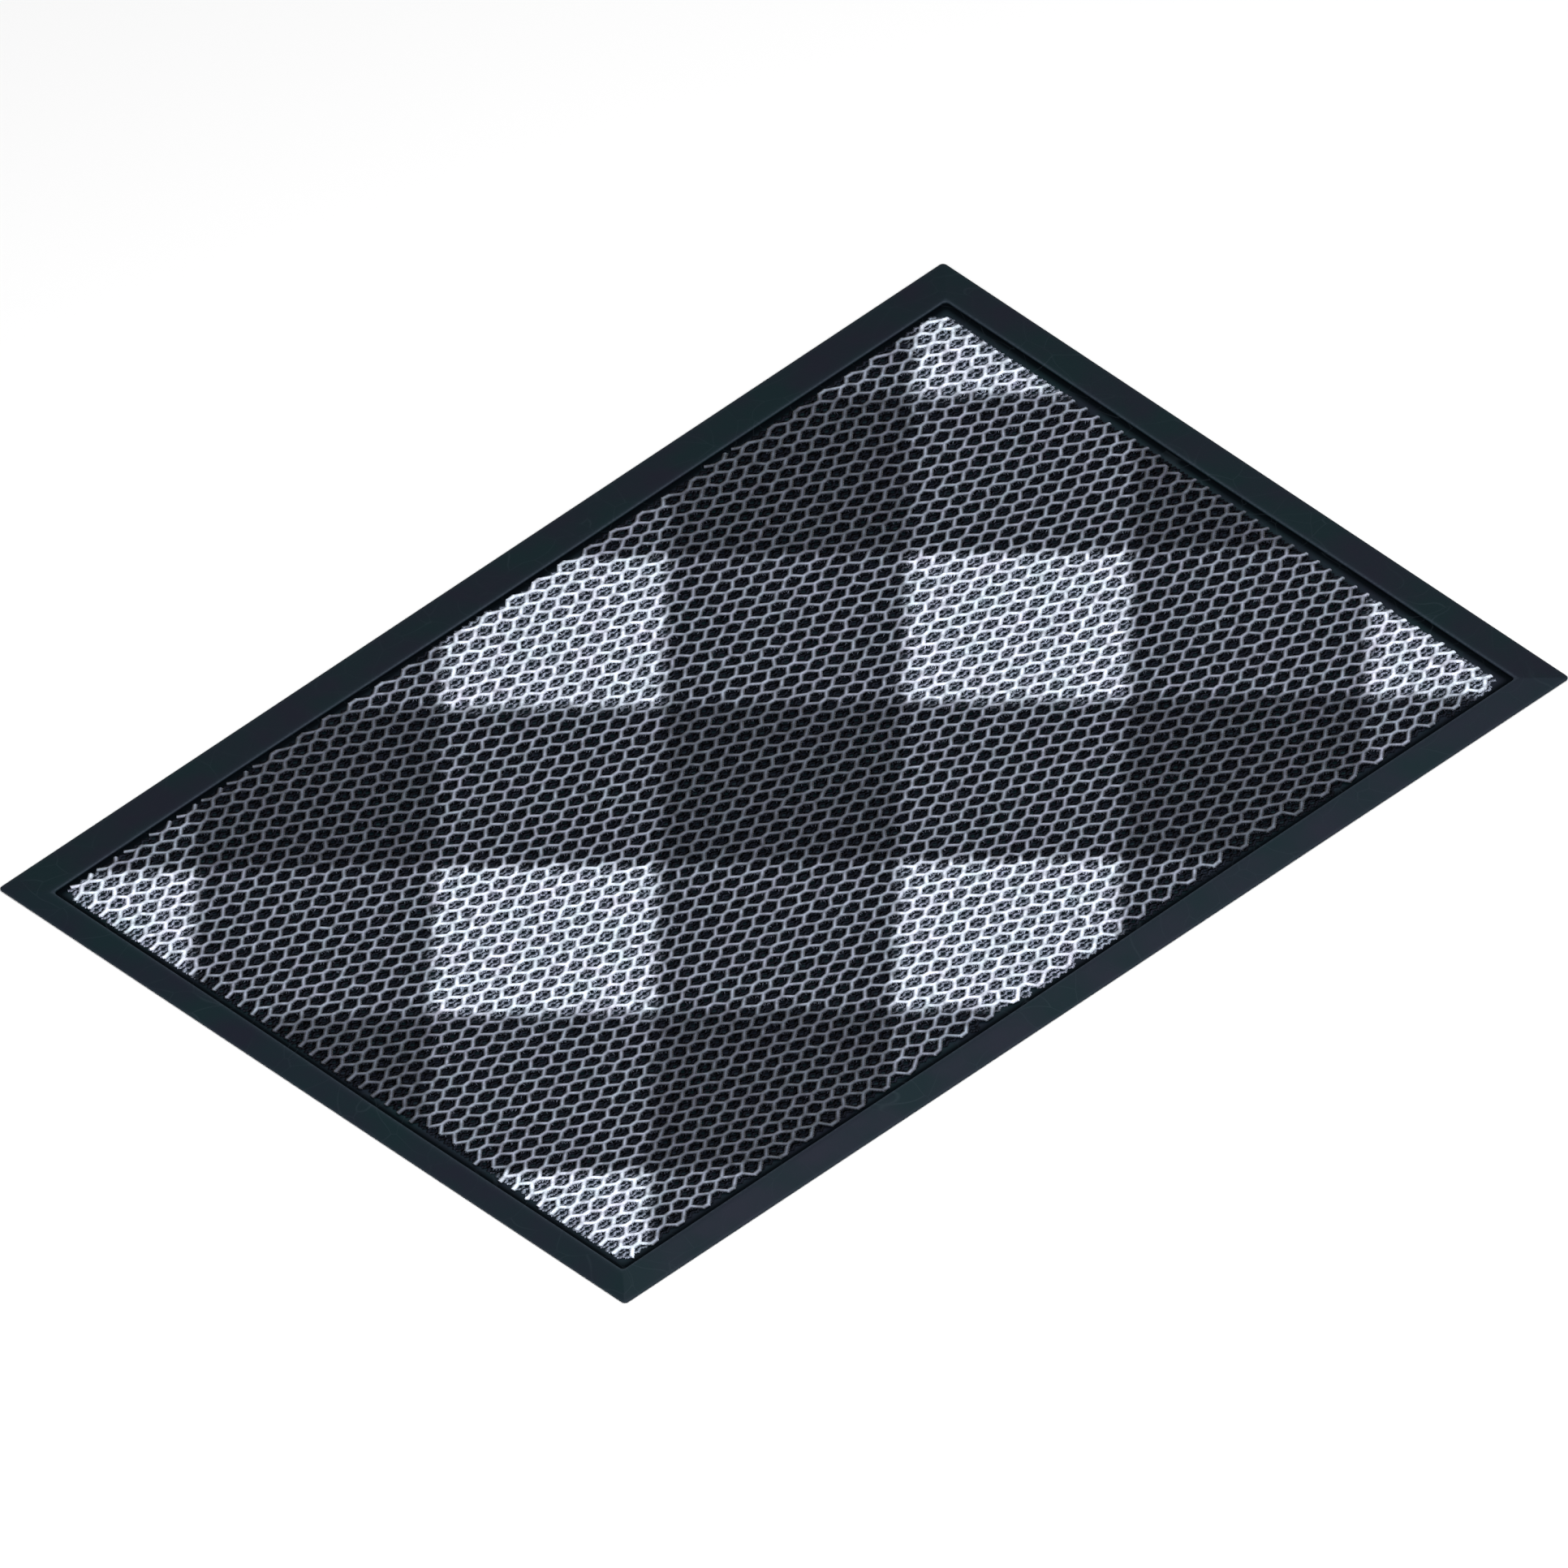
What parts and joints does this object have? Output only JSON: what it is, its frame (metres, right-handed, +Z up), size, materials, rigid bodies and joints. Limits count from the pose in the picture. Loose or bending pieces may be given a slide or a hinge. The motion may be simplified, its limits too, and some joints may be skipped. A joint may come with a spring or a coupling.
{
  "type": "door mat",
  "caption": "Low rectangular door mat: bevelled black rubber tray with a loose insert of black and white honeycomb spacer mesh that lifts out.",
  "frame": {"origin": "centre of the footprint, on the ground", "axes": "+X along the long side, +Y along the short side, +Z up out of the tray"},
  "size_m": [0.6, 0.398, 0.004],
  "materials": {
    "tray_rubber": "moulded, satin",
    "face_yarn": "knitted net, patterned black and white",
    "spacer_yarn": "upright monofilament yarns",
    "back_yarn": "close knitted net"
  },
  "bodies": {
    "tray": {"tray_border": "tray_rubber", "tray_floor": "tray_rubber"},
    "insert": {"face_net": "face_yarn", "spacer_pile": "spacer_yarn", "back_net": "back_yarn"}
  },
  "joints": [
    {"name": "insert_lift", "type": "slide", "parent": "tray", "child": "insert", "axis": [0, 0, 1], "range_m": [0, 0.06]}
  ]
}
